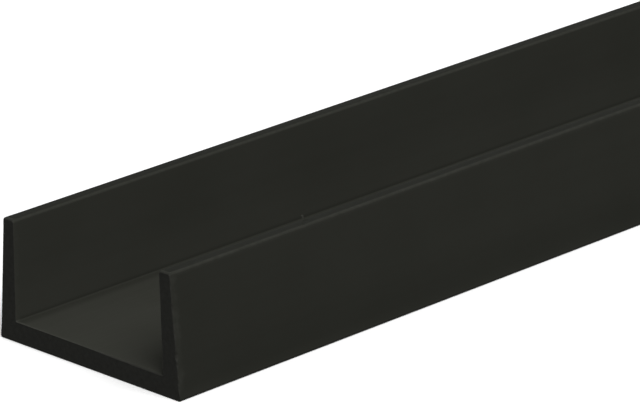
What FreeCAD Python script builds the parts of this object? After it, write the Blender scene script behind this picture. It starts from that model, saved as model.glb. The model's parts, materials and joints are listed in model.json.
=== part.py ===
"""A straight stick of rigid PVC U-channel, sawn square at both ends.

One extruded piece: a flat web with a flange along each side. Each flange is
thicker at its root than at its tip, and its outer face leans in towards the
tip. The stick lies on its web with the open side up. The origin is the middle
of the underside, +X runs along the stick and +Z points out of the open side.
"""
import FreeCAD, Part
import math
import os

# Overall sizes, in millimetres.
LENGTH = 914.4                # 36 in stick
BASE_WIDTH = 38.1             # 1-1/2 in, across the underside
DEPTH = 19.05                 # 3/4 in, underside to flange tip

# Walls.
WEB_THICKNESS = 3.2
FLANGE_ROOT_THICKNESS = 3.2   # where the inner face meets the web
FLANGE_TIP_THICKNESS = 2.2    # across the tip
TIP_LEAN_IN = 1.5             # how far the outer face has come in at the tip

# Edges that run the length of the stick.
BASE_EDGE_RADIUS = 0.3        # underside to outer face
TIP_OUTER_RADIUS = 0.35       # outer face to tip
TIP_INNER_RADIUS = 0.45       # tip to inner face
ROOT_FILLET_RADIUS = 0.2      # inner face to web


def flange_corners():
    """Corners of the section's right half as (y, z, radius), from the underside up and over the tip."""
    half_width = BASE_WIDTH / 2
    tip_outer = half_width - TIP_LEAN_IN
    lean_at_web = TIP_LEAN_IN * WEB_THICKNESS / DEPTH
    root_inner = half_width - lean_at_web - FLANGE_ROOT_THICKNESS
    return [
        (half_width, 0, BASE_EDGE_RADIUS),
        (tip_outer, DEPTH, TIP_OUTER_RADIUS),
        (tip_outer - FLANGE_TIP_THICKNESS, DEPTH, TIP_INNER_RADIUS),
        (root_inner, WEB_THICKNESS, ROOT_FILLET_RADIUS),
    ]


def section_corners():
    """Every corner of the section in order, the left half mirroring the right."""
    right = flange_corners()
    left = [(-y, z, radius) for y, z, radius in reversed(right)]
    return right + left


def corner_arc(before, corner, after, radius):
    """The arc of the given radius that rounds a corner between its two neighbours."""
    to_before = (before - corner).normalize()
    to_after = (after - corner).normalize()
    half_angle = to_before.getAngle(to_after) / 2
    setback = radius / math.tan(half_angle)
    bisector = (to_before + to_after).normalize()
    start = corner + to_before * setback
    middle = corner + bisector * (radius / math.sin(half_angle) - radius)
    end = corner + to_after * setback
    return Part.Arc(start, middle, end)


def section_wire(x):
    """The closed outline of the section, standing across the stick at x."""
    corners = section_corners()
    points = [FreeCAD.Vector(x, y, z) for y, z, radius in corners]
    arcs = []
    for index, (y, z, radius) in enumerate(corners):
        after = points[(index + 1) % len(points)]
        arcs.append(corner_arc(points[index - 1], points[index], after, radius))
    edges = []
    for index, arc in enumerate(arcs):
        edges.append(Part.LineSegment(arcs[index - 1].EndPoint, arc.StartPoint).toShape())
        edges.append(arc.toShape())
    return Part.Wire(edges)


def make_channel():
    """The whole stick: the section carried straight from one sawn end to the other."""
    sawn_end = Part.Face(section_wire(-LENGTH / 2))
    return sawn_end.extrude(FreeCAD.Vector(LENGTH, 0, 0))


os.makedirs("parts", exist_ok=True)
make_channel().exportStep("parts/u_channel.step")
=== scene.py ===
import json
import math

import bpy
from mathutils import Matrix, Vector, noise


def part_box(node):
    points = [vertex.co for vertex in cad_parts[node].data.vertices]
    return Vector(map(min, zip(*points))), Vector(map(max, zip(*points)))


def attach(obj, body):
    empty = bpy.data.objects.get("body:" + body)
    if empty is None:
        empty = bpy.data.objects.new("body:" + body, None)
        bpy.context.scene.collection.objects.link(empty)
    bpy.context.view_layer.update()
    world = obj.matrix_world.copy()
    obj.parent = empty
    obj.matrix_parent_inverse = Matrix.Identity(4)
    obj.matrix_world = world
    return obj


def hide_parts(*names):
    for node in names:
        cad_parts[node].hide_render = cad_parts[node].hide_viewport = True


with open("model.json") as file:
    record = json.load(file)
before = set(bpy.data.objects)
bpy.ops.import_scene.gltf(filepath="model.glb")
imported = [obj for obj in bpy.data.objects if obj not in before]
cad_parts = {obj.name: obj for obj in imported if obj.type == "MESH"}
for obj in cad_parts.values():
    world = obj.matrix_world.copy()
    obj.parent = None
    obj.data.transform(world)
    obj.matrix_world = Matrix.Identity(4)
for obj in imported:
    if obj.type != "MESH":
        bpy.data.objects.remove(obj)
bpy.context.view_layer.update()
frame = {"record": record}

# A stick of black rigid PVC U-channel on a plain white floor. The CAD frame holds the exact section.
# The stick built here has the same section, with the cut ends, edges and surface of real sawn stock.
# A point of the section is a 2D vector, across and up. An x by itself is a place along the stick.

MM = 0.001
NODE = "u_channel"
BODY = "root"

stick_low, stick_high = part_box(NODE)
LENGTH = stick_high.x - stick_low.x
DEPTH = stick_high.z - stick_low.z
FLOOR_OF_WEB = next(m for m in frame["record"]["mounts"] if m["name"] == "web_floor")["pos_m"][2]

# The section, as the CAD part has it.
BASE_WIDTH = 38.1 * MM
TIP_LEAN_IN = 1.5 * MM
FLANGE_ROOT_THICKNESS = 3.2 * MM
FLANGE_TIP_THICKNESS = 2.2 * MM
BASE_EDGE_RADIUS = 0.3 * MM
TIP_OUTER_RADIUS = 0.35 * MM
TIP_INNER_RADIUS = 0.45 * MM
ROOT_FILLET_RADIUS = 0.2 * MM

# Worked out from it, on the right-hand side: the tip's outer corner, and the corner at the channel's root.
HALF_WIDTH = BASE_WIDTH / 2
TIP_X = HALF_WIDTH - TIP_LEAN_IN
ROOT_X = HALF_WIDTH - TIP_LEAN_IN * FLOOR_OF_WEB / DEPTH - FLANGE_ROOT_THICKNESS

# How finely the section is divided.
TIP_STEPS = 8
WALL_STEPS = 30
CORNER_STEPS = 8
FILLET_STEPS = 3 * CORNER_STEPS    # faces the base's rounded edge and the straight runs either side of it
WEB_STEPS = 24
ACROSS_STEPS = 8

# The sawn ends.
CRISP_BREAK = 0.07 * MM       # how far the edge round each cut is broken where it is still crisp
WORN_BREAK = 0.42 * MM        # how much further it is broken where it has been knocked
WORST_WEAR = 1.3              # the most of that any place has
LESS_AT_TIPS = 0.45           # keeps the broken edge within the radii of the tips' edges
CUT_ROUND_STEPS = 5
CUT_DEPTH_BACK = 0.03 * MM    # the cut face lies this far inside the stick's full length
SAW_BITE = 0.03 * MM          # how deep the blade's arcs are on average
LIP_HEIGHT = 0.07 * MM        # plastic pushed up beside the cut
RUB_AND_HIGHLIGHT_REACH = 1.4 * MM        # how far the rubbed band beside the cut, partly a painted highlight, runs along the faces
BLADE_CENTRE = (-70 * MM, -95 * MM)    # the middle of the blade's arcs, across and up

# A knock across one flange's tip, near one end.
NICK_FROM_END = 26.9 * MM
NICK_DEPTH = 0.06 * MM
NICK_HALF_WIDTH = 0.55 * MM
SHAVING_LENGTH = 1.9 * MM     # the sliver the knock left hanging off the tip's inner edge

# The extruded skin, and the light and shade painted on its colour.
SAG_DEPTH = 0.015 * MM        # how far its faces sink on average
PAINTED_EDGE_HIGHLIGHT = 0.55          # painted highlight along the tips' long edges
PAINTED_TONE_OUTSIDE = 0.55           # its painted tone outside, where 0 is the skin in painted shade and 1 the skin in painted light
PAINTED_LIGHT_INSIDE = 0.22           # painted light added to that inside the channel
PAINTED_LIGHT_LOW_INSIDE = 0.14       # more painted light low down on the flanges' inner faces
PAINTED_SHADE_LOW_OUTSIDE = 0.1      # painted shade low down on their outer faces
PAINTED_SHADE_AT_ROOTS = 0.3             # painted shade round the channel's root corners
# The shaving's painted tone, on the same scale from painted shade to painted light.
SHAVING_PAINTED_TONE = 0.45

# How fine the plastic's patterns are, in lumps of noise a metre. Three numbers are along, across and up.
MOTTLE = 60
STREAKS = (6, 700, 700)
SATIN = (10, 1500, 1500)
DIE_LINES = (4, 1100, 1100)
CUT_GRAIN = 1400
RUB_AND_HIGHLIGHT_GRAIN = 900
SAW_ARCS = 2600

# Its colours, each from the darkest to the palest that its pattern gives.
# The skin painted as if in shade and as if in light; a point's painted tone mixes the two.
SKIN_IN_PAINTED_SHADE = ((0.0105, 0.0110, 0.0087, 1), (0.0121, 0.0127, 0.0101, 1))
SKIN_IN_PAINTED_LIGHT = ((0.0362, 0.0370, 0.0309, 1), (0.0397, 0.0405, 0.0343, 1))
CUT_FACE = ((0.0300, 0.0302, 0.0272, 1), (0.0412, 0.0414, 0.0378, 1))
# Rubbed plastic, also the colour of the painted highlights along the edges.
RUB_AND_HIGHLIGHT = ((0.0330, 0.0338, 0.0286, 1), (0.0500, 0.0508, 0.0440, 1))

# The studio.
LIGHT_FROM_ALL_ROUND = 0.24   # the strength of the surroundings as a light
WHITE_SEEN = 1.0              # and as what is seen
FLOOR_REACH = 40.0
FLOOR_DROP = 0.05 * MM        # the floor lies this far under the stick
FLOOR_BOUNCE = 0.05           # the floor's grey, for the light that it sends back up


# ---------------------------------------------------------------- section

def arc_points(before, corner, after, radius, steps):
    """Points along the arc that rounds a corner between its two neighbours."""
    to_before = (before - corner).normalized()
    to_after = (after - corner).normalized()
    half_angle = to_before.angle(to_after) / 2
    centre = corner + (to_before + to_after).normalized() * (radius / math.sin(half_angle))
    start = corner + to_before * (radius / math.tan(half_angle)) - centre
    end = corner + to_after * (radius / math.tan(half_angle)) - centre
    sweep = start.angle_signed(end)
    points = []
    for step in range(steps + 1):
        turn = Matrix.Rotation(-sweep * step / steps, 2)
        points.append(centre + turn @ start)
    return points


def line_points(start, end, steps):
    """Points along a straight run, without its first point."""
    return [start.lerp(end, step / steps) for step in range(1, steps + 1)]


def right_rungs():
    """Rungs (outer point, inner point) across the wall, from the right flange's tip to mid-web."""
    tip_outer = Vector((TIP_X, DEPTH))
    tip_inner = tip_outer - Vector((FLANGE_TIP_THICKNESS, 0))
    base_corner = Vector((HALF_WIDTH, 0))
    root_corner = Vector((ROOT_X, FLOOR_OF_WEB))
    mid_outer = Vector((0, 0))
    mid_inner = Vector((0, FLOOR_OF_WEB))

    outer_tip = arc_points(tip_inner, tip_outer, base_corner, TIP_OUTER_RADIUS, TIP_STEPS)
    inner_tip = arc_points(tip_outer, tip_inner, root_corner, TIP_INNER_RADIUS, TIP_STEPS)
    base_arc = arc_points(tip_outer, base_corner, mid_outer, BASE_EDGE_RADIUS, CORNER_STEPS)
    fillet = arc_points(tip_inner, root_corner, mid_inner, ROOT_FILLET_RADIUS, FILLET_STEPS)

    share = (DEPTH - fillet[0].y) / DEPTH
    wall_foot = tip_outer.lerp(base_corner, share)
    web_start = Vector((fillet[-1].x, 0))
    outer = outer_tip + line_points(outer_tip[-1], wall_foot, WALL_STEPS)
    outer += line_points(wall_foot, base_arc[0], CORNER_STEPS) + base_arc[1:]
    outer += line_points(base_arc[-1], web_start, CORNER_STEPS)
    outer += line_points(web_start, mid_outer, WEB_STEPS)
    inner = inner_tip + line_points(inner_tip[-1], fillet[0], WALL_STEPS) + fillet[1:]
    inner += line_points(fillet[-1], mid_inner, WEB_STEPS)
    return list(zip(outer, inner))


def section_rungs():
    """Every rung from the left flange's tip, round the web, to the right flange's tip."""
    right = right_rungs()
    left = [(Vector((-a.x, a.y)), Vector((-b.x, b.y))) for a, b in right]
    return left + right[-2::-1]


def section_loop(rungs):
    """The closed outline: outer side from left to right, right tip, back along the inside, left tip."""
    outer = [a for a, b in rungs]
    inner = [b for a, b in rungs]
    right_tip = line_points(outer[-1], inner[-1], ACROSS_STEPS)[:-1]
    left_tip = line_points(inner[0], outer[0], ACROSS_STEPS)[:-1]
    return outer + right_tip + inner[::-1] + left_tip


def loop_normals(loop):
    """The outward direction at each point of the outline."""
    normals = []
    for index in range(len(loop)):
        along = loop[(index + 1) % len(loop)] - loop[index - 1]
        normals.append(Vector((along.y, -along.x)).normalized())
    return normals


# ---------------------------------------------------------------- relief

def smooth(value, low, high):
    """0 below low, 1 above high and an eased rise between."""
    t = min(1.0, max(0.0, (value - low) / (high - low)))
    return t * t * (3 - 2 * t)


def ripple(point, size, seed):
    """Smooth noise from -1 to 1 over the section, with lumps about the given size."""
    return noise.noise(Vector((point.x / size, point.y / size, seed)))


def places(point, side):
    """How much a point is of the outer walls, tips, inner walls and web's floor, and where it is across.

    Across runs from -1 to 1, left to right as one looks at the end on that side."""
    inset = HALF_WIDTH - TIP_LEAN_IN * point.y / DEPTH - abs(point.x)
    tip = smooth(point.y, DEPTH - 0.5 * MM, DEPTH - 0.1 * MM)
    above_base = smooth(point.y, 0.6 * MM, 2.0 * MM)
    above_floor = smooth(point.y, FLOOR_OF_WEB, FLOOR_OF_WEB + 0.3 * MM)
    off_floor = smooth(abs(point.y - FLOOR_OF_WEB), 0.1 * MM, 0.3 * MM)
    outer_wall = (1 - smooth(inset, 0.05 * MM, 0.2 * MM)) * above_base * (1 - tip)
    inner_wall = smooth(inset, 1.7 * MM, 1.9 * MM) * above_floor * (1 - tip)
    floor = smooth(inset, 2.8 * MM, 3.1 * MM) * (1 - off_floor)
    across = side * point.x / HALF_WIDTH
    return outer_wall, tip, inner_wall, floor, across


def cut_round(point, side, seed):
    """How far the broken edge reaches in at this point of the cut outline."""
    outer_wall, tip, inner_wall, floor, across = places(point, side)
    chips = smooth(ripple(point, 2.6 * MM, seed) + 0.55 * ripple(point, 0.8 * MM, seed + 7), -0.35, 0.45)
    rough_side = smooth(-point.x, 0, TIP_X)
    worn = outer_wall * (0.3 + 0.8 * chips * rough_side) + tip * 1.2 + inner_wall * 0.2 * chips
    worn += floor * smooth(across, -0.35, 0.75) * (0.45 + 0.4 * chips)
    near_tip = smooth(point.y, DEPTH - 1.2 * MM, DEPTH - 0.5 * MM)
    return (CRISP_BREAK + WORN_BREAK * min(WORST_WEAR, worn)) * (1 - LESS_AT_TIPS * near_tip)


def painted_light_and_shade(point):
    """The skin's painted light and shade: darkest on the flat of the tips, painted light inside the
    channel, painted shade low outside and in its roots.
    """
    outer_wall, _, inner_wall, floor, _ = places(point, 1)
    down = 1 - point.y / DEPTH
    below_tip = 1 - smooth(point.y, DEPTH - 0.4 * MM, DEPTH - 0.05 * MM)
    painted_tone = PAINTED_TONE_OUTSIDE + PAINTED_LIGHT_INSIDE * min(1.0, inner_wall + floor)
    painted_tone += PAINTED_LIGHT_LOW_INSIDE * inner_wall * smooth(down, 0.3, 0.8)
    painted_tone -= PAINTED_SHADE_LOW_OUTSIDE * outer_wall * smooth(down, 0.5, 0.95)
    # The painted shade round each root is three times as wide as it is high.
    off_root = math.hypot(abs(point.x) - ROOT_X, 3 * (point.y - FLOOR_OF_WEB))
    painted_tone -= PAINTED_SHADE_AT_ROOTS * (1 - smooth(off_root, 0.5 * MM, 2.4 * MM))
    return max(0.0, below_tip * painted_tone)


def painted_edge_highlight(point):
    """The painted highlight along the tips' long edges: the left tip's outer edge and the right tip's
    inner one.
    """
    edge = Vector((-TIP_X, DEPTH))
    if point.x > 0:
        edge = Vector((TIP_X - FLANGE_TIP_THICKNESS, DEPTH))
    return PAINTED_EDGE_HIGHLIGHT * (1 - smooth((point - edge).length, 0.2 * MM, 0.5 * MM))


def scuff_and_painted_highlight(point, distance, side, seed):
    """How rubbed the skin is by the cut, partly a painted highlight along the cut's edges, at a distance
    from the cut.
    """
    outer_wall, tip, inner_wall, floor, across = places(point, side)
    wander = 1 + 0.45 * ripple(point, 1.7 * MM, seed + 2) + 0.25 * ripple(point, 0.6 * MM, seed + 9)
    share = outer_wall + 0.75 * inner_wall + 0.5 * tip + floor * (0.25 - 0.1 * across)
    reach = RUB_AND_HIGHLIGHT_REACH * wander * share
    patch = 0.4 + 0.6 * smooth(ripple(point, 1.5 * MM, seed + 13), -0.25, 0.35)
    strength = 0.55 * outer_wall * patch + 0.3 * inner_wall + 0.45 * tip + floor * (0.5 - 0.6 * across)
    return min(1.0, max(0.0, strength)) * (1 - smooth(distance, 0.45 * reach, reach + 0.05 * MM))


def lip(point, distance, side, seed):
    """Height of the plastic pushed up beside the cut, at a distance from it."""
    outer_wall, _, inner_wall, floor, _ = places(point, side)
    patch = smooth(ripple(point, 3.1 * MM, seed + 3) + 0.35 * ripple(point, 0.9 * MM, seed + 5), -0.1, 0.5)
    inside = smooth(point.y, 2 * MM, 4 * MM) * (1 - smooth(point.y, 15 * MM, 17 * MM))
    shape = smooth(distance, 0.05 * MM, 0.35 * MM) * (1 - smooth(distance, 0.4 * MM, 0.95 * MM))
    return LIP_HEIGHT * patch * shape * (outer_wall * inside + 0.6 * inner_wall + 0.6 * floor)


def nick(point, x):
    """How far the knock moves a point: down, on a slant of 45 degrees across the left flange's tip."""
    if point.x > 0 or point.y < DEPTH - 1.5 * MM:
        return 0.0
    along = x + LENGTH / 2 - NICK_FROM_END - (point.x + TIP_X)
    across = 1 - smooth(abs(along), 0.1 * MM, NICK_HALF_WIDTH)
    return -NICK_DEPTH * across * smooth(point.y, DEPTH - 0.9 * MM, DEPTH - 0.2 * MM)


def sag(point, x):
    """The gentle unevenness of an extruded face, always into the wall."""
    wave_length = 0.09
    wave_width = 0.012
    wave = noise.noise(Vector((x / wave_length, point.x / wave_width, point.y / wave_width)))
    return -SAG_DEPTH * (1 + wave)


def saw_relief(point, seed):
    """How deep the blade has bitten into the cut face at this point."""
    radius = math.hypot(point.x - BLADE_CENTRE[0], point.y - BLADE_CENTRE[1])
    broad = noise.noise(Vector((radius / (2.4 * MM), seed, 0.0)))
    fine = noise.noise(Vector((radius / (0.8 * MM), seed + 4, 0.0)))
    return SAW_BITE * (1 + 0.7 * broad + 0.3 * fine)


# ---------------------------------------------------------------- mesh

def row_distances():
    """Distances from an end at which the stick has a ring of points, past the broken edges."""
    distances = []
    distance = 0.6 * MM
    step = 0.12 * MM
    growth = 1.22
    longest_step = 6 * MM
    while distance < LENGTH / 2:
        distances.append(distance)
        distance += step
        step = min(step * growth, longest_step)
    # Close rings where the knock is.
    spread = NICK_HALF_WIDTH + 0.8 * MM
    steps = 16
    distances = [d for d in distances if abs(d - NICK_FROM_END) > spread]
    distances += [NICK_FROM_END + spread * (2 * step / steps - 1) for step in range(steps + 1)]
    return sorted(distances)


def make_stick():
    """The whole stick as one closed mesh, with how sawn each point is, its rubbed plastic and painted
    highlights, and its painted light and shade.
    """
    rungs = section_rungs()
    loop = section_loop(rungs)
    normals = loop_normals(loop)
    count = len(loop)
    points, sawn, rub_and_painted_highlight, painted_light_levels = [], [], [], []

    def add(x, flat, is_sawn, is_rub_and_highlight, painted_level=0.5):
        points.append((x, flat.x, flat.y))
        sawn.append(is_sawn)
        rub_and_painted_highlight.append(is_rub_and_highlight)
        painted_light_levels.append(painted_level)
        return len(points) - 1

    # Each point's painted light and shade, as a tone from the skin in painted shade to the skin in painted
    # light.
    painted_tones = [painted_light_and_shade(point) for point in loop]
    # The painted highlight along the tips' long edges.
    edge_highlights = [painted_edge_highlight(point) for point in loop]

    rings = []
    end_rings = []
    for side, seed in ((-1, 11.0), (1, 37.0)):
        face_x = side * (LENGTH / 2 - CUT_DEPTH_BACK)
        half = []
        for step in range(CUT_ROUND_STEPS + 1):
            angle = math.pi / 2 * step / CUT_ROUND_STEPS
            ring = []
            for point, normal, painted_tone, edge_highlight in zip(loop, normals, painted_tones, edge_highlights):
                reach = cut_round(point, side, seed)
                flat = point - normal * (reach * (1 - math.sin(angle)))
                x = face_x - side * reach * (1 - math.cos(angle))
                if step == 0:
                    x -= side * saw_relief(point, seed)
                # Rubbed plastic by the cut, partly painted highlight, or the painted highlight on the
                # tips' long edges, whichever is more.
                rub_and_highlight = max(edge_highlight, scuff_and_painted_highlight(point, 0.0, side, seed))
                ring.append(add(x, flat, 1 - step / CUT_ROUND_STEPS, rub_and_highlight, painted_tone))
            half.append(ring)
        for distance in row_distances():
            x = side * (LENGTH / 2 - distance)
            ring = []
            for point, normal, painted_tone, edge_highlight in zip(loop, normals, painted_tones, edge_highlights):
                swell = lip(point, distance, side, seed)
                swell += sag(point, x) * smooth(distance, 0.5 * MM, 4 * MM)
                flat = point + normal * swell + Vector((0, nick(point, x)))
                rub_and_highlight = max(edge_highlight, scuff_and_painted_highlight(point, distance, side, seed))
                ring.append(add(x, flat, 0.0, rub_and_highlight, painted_tone))
            half.append(ring)
        end_rings.append((side, seed, half[0]))
        rings += half if side < 0 else half[::-1]

    faces = []
    for ring, following in zip(rings, rings[1:]):
        for index in range(count):
            after = (index + 1) % count
            faces.append((ring[index], ring[after], following[after], following[index]))

    for side, seed, ring in end_rings:
        faces += end_face(side, seed, ring, len(rungs), points, add)
    faces += shaving(add)

    mesh = bpy.data.meshes.new("stick")
    mesh.from_pydata(points, [], faces)
    # Per point: how sawn it is, its rubbed plastic and painted highlight, and its painted light and shade.
    for name, values in (("sawn", sawn), ("rub_and_painted_highlight", rub_and_painted_highlight), ("painted_light_levels", painted_light_levels)):
        attribute = mesh.attributes.new(name, "FLOAT", "POINT")
        attribute.data.foreach_set("value", values)
    mesh.update()
    stick = bpy.data.objects.new("pvc_u_channel_stick", mesh)
    bpy.context.collection.objects.link(stick)
    return stick


def end_face(side, seed, ring, rung_count, points, add):
    """Faces that close one sawn end, a grid from the outer side of the wall to the inner."""
    inner_start = rung_count + ACROSS_STEPS - 1
    outer = ring[:rung_count]
    right_tip = ring[rung_count:inner_start]
    inner = ring[inner_start:inner_start + rung_count][::-1]
    left_tip = ring[inner_start + rung_count:]
    rows = []
    for index in range(rung_count):
        if index == 0:
            between = left_tip[::-1]
        elif index == rung_count - 1:
            between = right_tip
        else:
            start = Vector(points[outer[index]])
            end = Vector(points[inner[index]])
            between = []
            for step in range(1, ACROSS_STEPS):
                spot = start.lerp(end, step / ACROSS_STEPS)
                flat = Vector((spot.y, spot.z))
                x = side * (LENGTH / 2 - CUT_DEPTH_BACK - saw_relief(flat, seed))
                between.append(add(x, flat, 1.0, 0.0))
        rows.append([outer[index]] + between + [inner[index]])
    faces = []
    for row, following in zip(rows, rows[1:]):
        for step in range(ACROSS_STEPS):
            face = (row[step], row[step + 1], following[step + 1], following[step])
            faces.append(face if side < 0 else face[::-1])
    return faces


def shaving(add):
    """Faces of the sliver that hangs off the knocked tip's inner edge, narrow at its root and arched."""
    sides, steps = 8, 10
    inward = FLANGE_TIP_THICKNESS - 0.25 * MM
    below_tip = 0.42 * MM
    root = Vector((NICK_FROM_END + inward - LENGTH / 2, inward - TIP_X, DEPTH - below_tip))
    rings = []
    for step in range(steps + 1):
        t = step / steps
        middle = root + Vector((0.75, 1.0, 0.14 * math.sin(2.2 * t))) * (SHAVING_LENGTH * t)
        rounded_end = math.sqrt(max(0.02, 1 - t ** 6))
        half_width = (0.08 + 0.2 * smooth(t, 0.3, 0.8)) * rounded_end * MM
        half_thickness = 0.5 * half_width
        ring = []
        for side in range(sides):
            angle = 2 * math.pi * side / sides
            x = middle.x + half_width * math.cos(angle)
            flat = Vector((middle.y, middle.z + half_thickness * math.sin(angle)))
            ring.append(add(x, flat, 0.0, 0.0, SHAVING_PAINTED_TONE))
        rings.append(ring)
    faces = [rings[0], rings[-1][::-1]]
    for ring, following in zip(rings, rings[1:]):
        for side in range(sides):
            after = (side + 1) % sides
            faces.append((ring[side], following[side], following[after], ring[after]))
    return faces


# ---------------------------------------------------------------- materials

def new_material(name):
    """A new material, with its node tree and its principled shader."""
    material = bpy.data.materials.new(name)
    material.use_nodes = True
    tree = material.node_tree
    shader = tree.nodes["Principled BSDF"]
    return material, tree, shader


def pvc_material():
    """Black rigid PVC: a satin extruded skin with die lines, and matt sawn ends."""
    material, tree, shader = new_material("black_pvc")
    nodes, links = tree.nodes, tree.links
    shader.inputs["Specular IOR Level"].default_value = 0.008

    place = nodes.new("ShaderNodeTexCoord").outputs["Object"]

    def mapped(scale):
        mapping = nodes.new("ShaderNodeMapping")
        mapping.inputs["Scale"].default_value = scale
        links.new(place, mapping.inputs["Vector"])
        return mapping.outputs["Vector"]

    def noise_of(vector, scale, detail, roughness=0.5):
        texture = nodes.new("ShaderNodeTexNoise")
        texture.inputs["Scale"].default_value = scale
        texture.inputs["Detail"].default_value = detail
        texture.inputs["Roughness"].default_value = roughness
        links.new(vector, texture.inputs["Vector"])
        return texture.outputs["Fac"]

    def ramp(value, dark, painted_light_levels):
        """The colours between two, over a noise's middle range."""
        node = nodes.new("ShaderNodeValToRGB")
        for element, position, colour in zip(node.color_ramp.elements, (0.3, 0.7), (dark, painted_light_levels)):
            element.position = position
            element.color = colour
        links.new(value, node.inputs["Fac"])
        return node.outputs["Color"]

    def spread(value, low, high, from_low=0.3, from_high=0.7):
        """A noise's middle range, stretched to run from low to high."""
        node = nodes.new("ShaderNodeMapRange")
        node.inputs["From Min"].default_value = from_low
        node.inputs["From Max"].default_value = from_high
        node.inputs["To Min"].default_value = low
        node.inputs["To Max"].default_value = high
        links.new(value, node.inputs["Value"])
        return node.outputs["Result"]

    def mix(kind, factor, a, b):
        """A mix of two colours or two numbers, each a constant or a node's output."""
        node = nodes.new("ShaderNodeMix")
        node.data_type = kind
        first_input, output = {"RGBA": (6, 2), "FLOAT": (2, 0)}[kind]
        links.new(factor, node.inputs[0])
        for offset, value in enumerate((a, b)):
            target = node.inputs[first_input + offset]
            if hasattr(value, "node"):
                links.new(value, target)
            else:
                target.default_value = value
        return node.outputs[output]

    def with_a_third_of(main, lesser):
        node = nodes.new("ShaderNodeMath")
        node.operation = "MULTIPLY_ADD"
        links.new(lesser, node.inputs[0])
        node.inputs[1].default_value = 0.33
        links.new(main, node.inputs[2])
        return node.outputs["Value"]

    def attribute(name):
        node = nodes.new("ShaderNodeAttribute")
        node.attribute_name = name
        return node.outputs["Fac"]

    sawn = attribute("sawn")

    # Colour: a warm black with painted light and shade, lighter inside the channel and darker at its
    # roots, low outside and on the tips' flats, with slow mottling, faint lengthwise streaks, a rubbed
    # band by the cuts that is partly a painted highlight, and a painted highlight along the tips' long
    # edges.
    mottle = noise_of(place, MOTTLE, 3)
    streak = noise_of(mapped(STREAKS), 1.0, 2)
    variation = spread(with_a_third_of(mottle, streak), 0.0, 1.0, 0.45, 0.88)
    skin_in_painted_shade = mix("RGBA", variation, *SKIN_IN_PAINTED_SHADE)
    skin_in_painted_light = mix("RGBA", variation, *SKIN_IN_PAINTED_LIGHT)
    # The skin between its painted-shade and painted-light colours, by each point's painted tone.
    skin_with_painted_light = mix("RGBA", attribute("painted_light_levels"), skin_in_painted_shade, skin_in_painted_light)
    grain = noise_of(place, CUT_GRAIN, 4, 0.65)
    cut_colour = ramp(grain, *CUT_FACE)
    # Rubbed plastic, also used for the painted highlights.
    rub_and_highlight_colour = ramp(noise_of(place, RUB_AND_HIGHLIGHT_GRAIN, 5, 0.7), *RUB_AND_HIGHLIGHT)
    colour = mix("RGBA", attribute("rub_and_painted_highlight"), skin_with_painted_light, rub_and_highlight_colour)
    colour = mix("RGBA", sawn, colour, cut_colour)
    links.new(colour, shader.inputs["Base Color"])

    # Roughness: satin skin, uneven in fine streaks, and matt where the saw went.
    satin = spread(noise_of(mapped(SATIN), 1.0, 2), 0.44, 0.54)
    matt = spread(grain, 0.62, 0.8)
    links.new(mix("FLOAT", sawn, satin, matt), shader.inputs["Roughness"])

    # Relief: die lines along the stick, and the saw's arcs across its ends.
    die_lines = noise_of(mapped(DIE_LINES), 1.0, 2)
    flatten = nodes.new("ShaderNodeVectorMath")
    flatten.operation = "MULTIPLY"
    flatten.inputs[1].default_value = (0, 1, 1)
    links.new(place, flatten.inputs[0])
    blade = nodes.new("ShaderNodeVectorMath")
    blade.operation = "DISTANCE"
    blade.inputs[1].default_value = (0, *BLADE_CENTRE)
    links.new(flatten.outputs["Vector"], blade.inputs[0])
    arcs = nodes.new("ShaderNodeTexNoise")
    arcs.noise_dimensions = "1D"
    arcs.inputs["Scale"].default_value = SAW_ARCS
    arcs.inputs["Detail"].default_value = 3
    links.new(blade.outputs["Value"], arcs.inputs["W"])
    relief = mix("FLOAT", sawn, die_lines, arcs.outputs["Fac"])
    bump = nodes.new("ShaderNodeBump")
    bump.inputs["Strength"].default_value = 0.15
    bump.inputs["Distance"].default_value = 0.03 * MM
    links.new(relief, bump.inputs["Height"])
    links.new(bump.outputs["Normal"], shader.inputs["Normal"])
    return material


def seen_directly(nodes, links):
    """1 where the camera sees a thing, even in a gloss or through glass, 0 where it only gives light."""
    path = nodes.new("ShaderNodeLightPath")
    seen = path.outputs["Is Camera Ray"]
    for ray in ("Is Glossy Ray", "Is Transmission Ray"):
        either = nodes.new("ShaderNodeMath")
        either.operation = "MAXIMUM"
        links.new(seen, either.inputs[0])
        links.new(path.outputs[ray], either.inputs[1])
        seen = either.outputs["Value"]
    return seen


def floor_material():
    """Plain white floor. What looks at it sees white; the light it sends back up is that of a grey one."""
    material, tree, shader = new_material("studio_floor")
    nodes, links = tree.nodes, tree.links
    nodes.remove(shader)
    white = nodes.new("ShaderNodeBsdfDiffuse")
    white.inputs["Color"].default_value = (1, 1, 1, 1)
    grey = nodes.new("ShaderNodeBsdfDiffuse")
    grey.inputs["Color"].default_value = (FLOOR_BOUNCE, FLOOR_BOUNCE, FLOOR_BOUNCE, 1)
    choose = nodes.new("ShaderNodeMixShader")
    links.new(seen_directly(nodes, links), choose.inputs["Fac"])
    links.new(grey.outputs["BSDF"], choose.inputs[1])
    links.new(white.outputs["BSDF"], choose.inputs[2])
    links.new(choose.outputs["Shader"], nodes["Material Output"].inputs["Surface"])
    return material


# ---------------------------------------------------------------- studio

def make_floor():
    """A floor wide enough that no view reaches its edge."""
    mesh = bpy.data.meshes.new("floor")
    signs = ((-1, -1), (1, -1), (1, 1), (-1, 1))
    corners = [(x * FLOOR_REACH, y * FLOOR_REACH, -FLOOR_DROP) for x, y in signs]
    mesh.from_pydata(corners, [], [(0, 1, 2, 3)])
    floor = bpy.data.objects.new("floor", mesh)
    bpy.context.collection.objects.link(floor)
    mesh.materials.append(floor_material())


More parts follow.
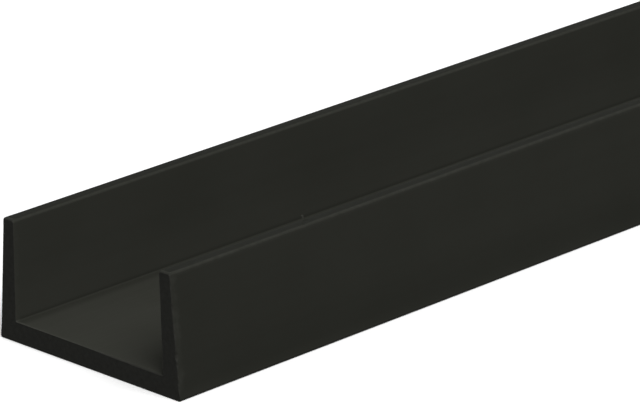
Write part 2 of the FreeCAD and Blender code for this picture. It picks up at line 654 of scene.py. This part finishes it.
def make_world():
    """Even soft light from all round. What looks at it, itself or in a gloss, sees white."""
    world = bpy.data.worlds.new("studio")
    bpy.context.scene.world = world
    world.use_nodes = True
    nodes, links = world.node_tree.nodes, world.node_tree.links
    background = nodes["Background"]
    strength = nodes.new("ShaderNodeMapRange")
    strength.inputs["To Min"].default_value = LIGHT_FROM_ALL_ROUND
    strength.inputs["To Max"].default_value = WHITE_SEEN
    links.new(seen_directly(nodes, links), strength.inputs["Value"])
    links.new(strength.outputs["Result"], background.inputs["Strength"])
    background.inputs["Color"].default_value = (1, 1, 1, 1)


def direction(heading, height):
    """The way to a compass heading, from +Y towards +X, and a height above the floor, both in radians."""
    level = math.cos(height)
    return Vector((math.sin(heading) * level, math.cos(heading) * level, math.sin(height)))


def make_sun(name, heading, height, strength, softness):
    """A soft distant lamp that shines from a compass heading and a height. Its angles are in degrees."""
    lamp = bpy.data.lights.new(name, "SUN")
    lamp.energy = strength
    lamp.angle = math.radians(softness)
    sun = bpy.data.objects.new(name, lamp)
    bpy.context.collection.objects.link(sun)
    towards = direction(math.radians(heading), math.radians(height))
    sun.rotation_euler = towards.to_track_quat("Z", "Y").to_euler()
    return sun


def make_camera():
    """A long lens off one end, looking along the stick and down on it, as the photograph does."""
    heading = math.radians(44.873)
    tilt_down = math.radians(19.777)
    roll = math.radians(-1.037)
    distance = 0.7496
    aim = Vector((stick_low.x + 35.88 * MM, -11.9 * MM, DEPTH))
    ahead = direction(heading, -tilt_down)
    lens = bpy.data.cameras.new("camera")
    lens.lens = 288.18
    lens.sensor_width = 36.0
    lens.clip_end = 100.0
    camera = bpy.data.objects.new("camera", lens)
    bpy.context.collection.objects.link(camera)
    look = ahead.to_track_quat("-Z", "Y").to_matrix().to_4x4()
    turned = look @ Matrix.Rotation(roll, 4, "Z")
    camera.matrix_world = Matrix.Translation(aim - ahead * distance) @ turned
    bpy.context.scene.camera = camera


bpy.context.scene.view_settings.view_transform = "Standard"
make_floor()
make_world()
make_sun("key", heading=199, height=57, strength=3.2, softness=42)
fill = make_sun("fill", heading=35, height=12, strength=1.7, softness=24)
fill.visible_glossy = False
make_camera()

stick = make_stick()
stick.data.materials.append(pvc_material())
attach(stick, BODY)
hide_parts(NODE)
